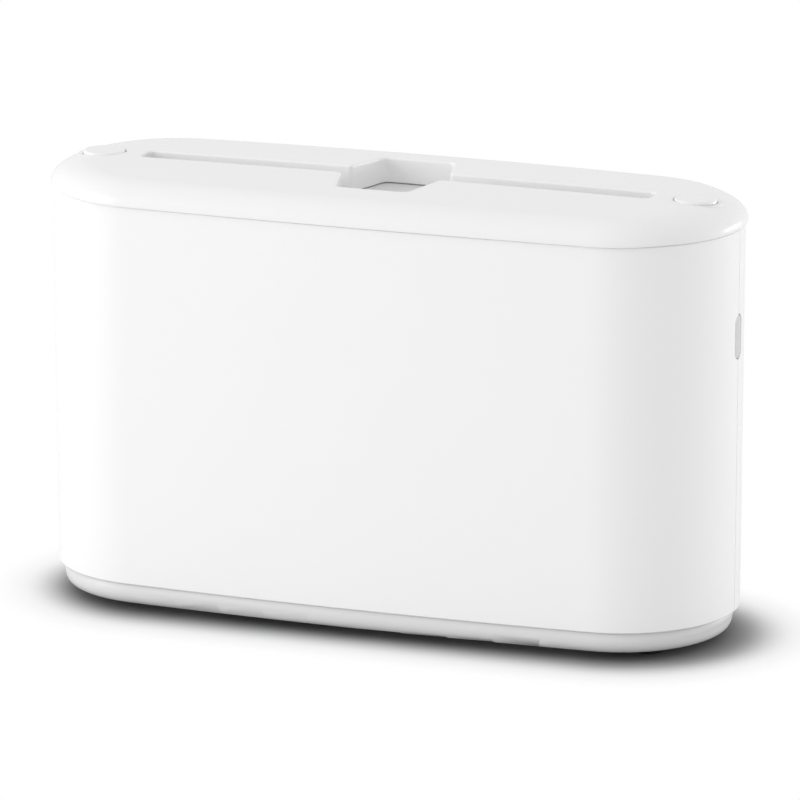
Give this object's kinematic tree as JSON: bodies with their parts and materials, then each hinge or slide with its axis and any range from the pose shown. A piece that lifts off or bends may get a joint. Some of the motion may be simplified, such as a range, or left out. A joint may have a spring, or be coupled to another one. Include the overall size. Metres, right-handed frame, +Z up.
{
  "type": "paper towel dispenser",
  "caption": "Countertop dispenser for folded towels: oval casing, lift-off lid with a hand opening and tear slot, push-button latches, spring-raised platform.",
  "frame": {"origin": "on the counter, under the middle of the dispenser", "axes": "+X along the dispenser to its right end as seen from the front, +Y to the back, +Z up"},
  "size_m": [0.323, 0.116, 0.2014],
  "materials": {
    "shell_white": "gloss moulded ABS, faint moulding ripple",
    "lid_white": "gloss moulded ABS",
    "button_white": "gloss moulded ABS",
    "base_grey": "satin moulded plastic, very light grey",
    "platform_grey": "satin moulded plastic, light grey",
    "guide_grey": "plain moulded plastic, grey",
    "shoe_white": "natural acetal",
    "window_grey": "smoky grey moulded lens",
    "foot_rubber": "moulded rubber, black",
    "spring_steel": "bright spring steel",
    "screw_steel": "zinc plated steel"
  },
  "bodies": {
    "casing": {"base_tray": "base_grey", "rubber_feet": "foot_rubber", "front_shell": "shell_white", "rear_shell": "shell_white", "window_left": "window_grey", "window_right": "window_grey", "shell_screws": "screw_steel", "guide_screws": "screw_steel", "guide_left": "guide_grey", "guide_right": "guide_grey", "platform_spring_left": "spring_steel", "platform_spring_right": "spring_steel"},
    "platform": {"platform_plate": "platform_grey", "platform_shoes": "shoe_white"},
    "lid": {"lid_cover": "lid_white", "button_bracket_left": "guide_grey", "button_bracket_right": "guide_grey", "bracket_screws": "screw_steel", "latch_pin_left": "spring_steel", "latch_pin_right": "spring_steel", "button_spring_left": "spring_steel", "button_spring_right": "spring_steel"},
    "button_left": {"button_left": "button_white"},
    "latch_left": {"latch_left": "shoe_white"},
    "button_right": {"button_right": "button_white"},
    "latch_right": {"latch_right": "shoe_white"}
  },
  "joints": [
    {"name": "platform_slide", "type": "slide", "parent": "casing", "child": "platform", "axis": [0, 0, -1], "range_m": [0, 0.14], "stiffness_N_per_m": 20, "springref_m": -0.3, "deforming": ["platform_spring_left", "platform_spring_right"]},
    {"name": "lid_lift", "type": "slide", "parent": "casing", "child": "lid", "axis": [0, 0, 1], "range_m": [0, 0.09]},
    {"name": "button_left_press", "type": "slide", "parent": "lid", "child": "button_left", "axis": [0, 0, -1], "range_m": [0, 0.003], "stiffness_N_per_m": 600, "springref_m": -0.005, "deforming": ["button_spring_left"]},
    {"name": "latch_left_turn", "type": "hinge", "parent": "lid", "child": "latch_left", "pos_m": [-0.131, 0, 0.181], "axis": [0, -1, 0], "range_deg": [0, 19.2]},
    {"name": "button_right_press", "type": "slide", "parent": "lid", "child": "button_right", "axis": [0, 0, -1], "range_m": [0, 0.003], "stiffness_N_per_m": 600, "springref_m": -0.005, "deforming": ["button_spring_right"]},
    {"name": "latch_right_turn", "type": "hinge", "parent": "lid", "child": "latch_right", "pos_m": [0.131, 0, 0.181], "axis": [0, 1, 0], "range_deg": [0, 19.2]}
  ],
  "couplings": [
    {"joint": "latch_left_turn", "follows": "button_left_press", "rad_per_m": 111.11},
    {"joint": "latch_right_turn", "follows": "button_right_press", "rad_per_m": 111.11}
  ]
}
